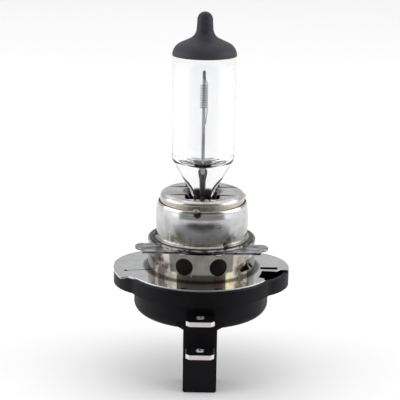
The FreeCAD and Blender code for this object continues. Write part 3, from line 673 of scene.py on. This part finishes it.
# --- metal cap -----------------------------------------------------------------------------------
def make_sleeve():
    """Rolled-in rim, a shallow groove under it, a swelling wall and a flared lip."""
    low, high = node_box("outer_sleeve")
    lip, base, top = high.x, low.z, high.z
    outside = smooth_line([
        (lip, base), (lip, base + 0.07), (lip - 0.13, base + 0.2), (lip - 0.29, base + 0.38),
        (8.0, base + 0.62), (8.02, 1.8), (8.09, 2.5), (8.14, 3.4), (8.15, 4.3), (8.13, 5.0),
        (8.08, 5.6), (8.0, 6.1), (7.93, 6.5), (7.88, 6.8), (7.8, 7.02),
        (7.7, top), (7.62, top)])
    inside = smooth_line([
        (7.57, 7.08), (7.57, 6.6), (7.62, 6.3), (7.78, 5.3), (7.85, 4.2), (7.8, 3.0), (7.72, 1.8),
        (lip - 0.6, base + 0.4), (lip - 0.4, base + 0.04), (lip - 0.2, base)])
    piece = lathe("sleeve_shell", outside + inside, 192)
    return place(piece, "outer_sleeve", slot="sleeve_steel")


def make_nuggets(node, name, seed, swell=0.96):
    """Weld nuggets with uneven tops, one for each solid of the CAD group."""
    bm = bmesh.new()
    bm.from_mesh(nodes[node].data)
    bmesh.ops.remove_doubles(bm, verts=bm.verts, dist=CAD_WELD)
    groups, seen = [], set()
    for vert in bm.verts:
        if vert in seen:
            continue
        stack, group = [vert], []
        seen.add(vert)
        while stack:
            here = stack.pop()
            group.append(here.co.copy())
            for edge in here.link_edges:
                other = edge.other_vert(here)
                if other not in seen:
                    seen.add(other)
                    stack.append(other)
        groups.append(group)
    bm.free()
    made = bmesh.new()
    for number, group in enumerate(groups):
        middle = sum(group, Vector()) / len(group)
        spread = [max(abs(p[i] - middle[i]) for p in group) * swell for i in range(3)]
        ball = bmesh.ops.create_icosphere(made, subdivisions=4, radius=1.0)
        for vert in ball["verts"]:
            d = vert.co.normalized()
            lump = 1 - 0.07 * (1 + math.sin(5.1 * d.x + seed + number)
                               * math.sin(4.3 * d.y + 2 * seed) * math.cos(3.7 * d.z))
            vert.co = middle + Vector([d[i] * lump * spread[i] for i in range(3)])
    piece = new_object(name, made, weld=False)
    return place(piece, node, slot="weld_steel")


BEAD_ALONG, BEAD_ASIDE, BEAD_DEPTH = 4.4, 1.3, 0.05
BEAD_SIZE = (0.95, 0.22, 0.07)


def make_tongue_beads():
    """The stamped stiffening beads pressed into the two tongues of the inner cap."""
    top = node_box("inner_cap")[1].z
    bm = bmesh.new()
    for along, aside in ((-1, -1), (-1, 1), (1, -1), (1, 1)):
        centre = Vector((along * BEAD_ALONG, aside * BEAD_ASIDE, top - BEAD_DEPTH))
        ball = bmesh.ops.create_uvsphere(bm, u_segments=14, v_segments=8, radius=1.0)
        for vert in ball["verts"]:
            vert.co = (centre + Vector([c * r for c, r in zip(vert.co, BEAD_SIZE)])) * MM
    return place(new_object("tongue_beads", bm, weld=False), slot="cap_steel")


def bare_tips(material, *pieces):
    """Gives the sheared tip faces of the blades their own matt finish."""
    tip = node_box("upper_terminal")[0].y + 1.0
    for piece in pieces:
        piece.data.materials.append(material)
        for polygon in piece.data.polygons:
            if polygon.normal.y < -0.6 and polygon.center.y < tip * MM:
                polygon.material_index = 1


# --- assembly of the visual model ----------------------------------------------------------------
metals = plain_metals()
quartz().on(make_glass())
anti_glare().on(nodes["anti_glare_coating"])
metals["tungsten"].on(make_coil())
metals["foot"].on(make_support_feet())
metals["molybdenum"].on(nodes["long_support_wire"], nodes["short_support_wire"],
                        nodes["long_seal_foil"], nodes["short_seal_foil"])
metals["lead"].on(nodes["long_outer_lead"], nodes["short_outer_lead"])
cap_metal().on(eased_copy("inner_cap", "cap_cup", 0.08), make_tongue_beads())
sleeve_metal().on(make_sleeve())
metals["weld"].on(make_nuggets("sleeve_welds", "rim_nuggets", 1.0, 1.15),
                  make_nuggets("lip_welds", "lip_nuggets", 2.0),
                  make_nuggets("lead_welds", "lead_nuggets", 3.0))
seat_metal().on(nodes["seat_ring"])
ring_metal().on(eased_copy("prefocus_ring", "lug_ring", 0.1))
collar_metal().on(eased_copy("vented_collar", "collar_cup", 0.06))
plate_metal().on(eased_copy("flange_plate", "spring_plate", 0.07))
moulded_black().on(eased_copy("base_housing", "base_moulding", 0.18))
blades = (eased_copy("upper_terminal", "upper_blade", 0.2, 4),
          eased_copy("lower_terminal", "lower_blade", 0.2, 4))
metals["blade"].on(*blades)
bare_tips(sheared_tip().material, *blades)
insulator_board().on(nodes["insulator_disc"])


# --- floor, light and camera ---------------------------------------------------------------------
FLOOR_HALF = 3.0
FLOOR_LEVEL = cad_bounds[0][2]
MAT_NEAR, MAT_FAR, MAT_HALF_WIDE = -28, -216, 132
MAT_DARK_FROM, MAT_DARK_TO = -84.0, -96.0
MAT_FADE_FROM, MAT_FADE_TO = 66.0, 126.0


def make_floor():
    bm = bmesh.new()
    bmesh.ops.create_grid(bm, x_segments=8, y_segments=8, size=FLOOR_HALF)
    for vert in bm.verts:
        vert.co.z = FLOOR_LEVEL
    floor = new_object("floor", bm)
    made = Material("pale_floor", Roughness=0.9, Specular_IOR_Level=0.1)
    made.colour(made.mix(made.noise(0.004, 2), (0.93, 0.93, 0.93), (0.96, 0.96, 0.96)))
    made.on(floor)


def make_mat():
    """A grey mat in front of the bulb, out of view, that only the metal's reflections show."""
    bm = bmesh.new()
    middle = Vector((0, (MAT_NEAR + MAT_FAR) / 2, 0)) * MM
    bmesh.ops.create_grid(bm, x_segments=6, y_segments=6, size=0.5)
    for vert in bm.verts:
        vert.co = Vector((vert.co.x * 2 * MAT_HALF_WIDE, vert.co.y * (MAT_FAR - MAT_NEAR), 0)) * MM
        vert.co += middle + Vector((0, 0, FLOOR_LEVEL + 0.5 * MM))
    mat = new_object("grey_mat", bm)
    made = Material("grey_mat_felt", Roughness=1.0, Specular_IOR_Level=0.0)
    far = made.band(made.axis_value("Y"), MAT_DARK_TO, MAT_DARK_FROM, 1.0, 0.0)
    near_grey = made.mix(made.noise(0.05, 3), (0.28, 0.28, 0.285), (0.35, 0.35, 0.355))
    grey = made.mix(far, near_grey, (0.03, 0.03, 0.035))
    edge = made.band(made.math("ABSOLUTE", made.axis_value("X")), MAT_FADE_FROM, MAT_FADE_TO)
    made.colour(made.mix(edge, grey, (0.9, 0.9, 0.9)))
    made.on(mat)
    mat.visible_camera = False
    mat.visible_diffuse = False
    mat.visible_shadow = False
    mat.visible_transmission = False


def make_light(name, centre, target, width, height, watts):
    """A soft box of width by height, aimed at a point."""
    lamp = bpy.data.lights.new(name, "AREA")
    lamp.shape = "RECTANGLE"
    lamp.size, lamp.size_y = width * MM, height * MM
    lamp.energy = watts
    holder = bpy.data.objects.new(name, lamp)
    bpy.context.scene.collection.objects.link(holder)
    holder.location = Vector(centre) * MM
    aim = (Vector(target) - Vector(centre)).to_track_quat("-Z", "Y")
    holder.rotation_euler = aim.to_euler()


def make_world(front, back, low_band):
    """A grey studio, darker above the side the bulb is seen from, and pale low down."""
    world = bpy.data.worlds.new("studio")
    world.use_nodes = True
    tree = world.node_tree
    direction = tree.nodes.new("ShaderNodeTexCoord")
    split = tree.nodes.new("ShaderNodeSeparateXYZ")
    tree.links.new(direction.outputs["Generated"], split.inputs[0])

    def shade(output, *span):
        node = tree.nodes.new("ShaderNodeMapRange")
        node.interpolation_type = "SMOOTHSTEP"
        for socket, value in zip(("From Min", "From Max", "To Min", "To Max"), span):
            node.inputs[socket].default_value = value
        tree.links.new(output, node.inputs["Value"])
        return node.outputs["Result"]

    lighter = tree.nodes.new("ShaderNodeMath")
    lighter.operation = "MAXIMUM"
    tree.links.new(shade(split.outputs["Y"], -0.85, -0.1, front, back), lighter.inputs[0])
    tree.links.new(shade(split.outputs["Z"], 0.12, 0.26, low_band, 0.0), lighter.inputs[1])
    background = tree.nodes["Background"]
    background.inputs["Color"].default_value = (1, 1, 1, 1)
    tree.links.new(lighter.outputs[0], background.inputs["Strength"])
    bpy.context.scene.world = world


def make_camera():
    """Looks down a little from the front, leaning very slightly, as the bulb is seen."""
    distance, height = 200.0, 63.0
    yaw, pitch, roll = -0.00203, 0.272404, 0.015532
    ahead = Vector((math.sin(yaw) * math.cos(pitch), math.cos(yaw) * math.cos(pitch),
                    -math.sin(pitch)))
    level_right = Vector((math.cos(yaw), -math.sin(yaw), 0))
    level_up = level_right.cross(ahead)
    right = level_right * math.cos(roll) + level_up * math.sin(roll)
    up = level_up * math.cos(roll) - level_right * math.sin(roll)
    data = bpy.data.cameras.new("camera")
    data.sensor_width = 36.0
    data.lens = 106.43
    data.clip_start, data.clip_end = 0.005, 20.0
    camera = bpy.data.objects.new("camera", data)
    bpy.context.scene.collection.objects.link(camera)
    turn = Matrix((right, up, -ahead)).transposed().to_4x4()
    camera.matrix_world = Matrix.Translation(Vector((0, -distance, height)) * MM) @ turn
    bpy.context.scene.camera = camera


bpy.context.scene.view_settings.view_transform = "Standard"
make_floor()
make_mat()
make_world(0.15, 0.70, 0.3)
make_light("softbox_left", (-430, -40, 150), (0, 0, -10), 500, 320, 0.85)
make_light("softbox_right", (430, -40, 150), (0, 0, -10), 500, 320, 0.85)
make_light("softbox_top", (0, 550, 1000), (0, 550, -20), 2400, 2400, 10.5)
make_camera()
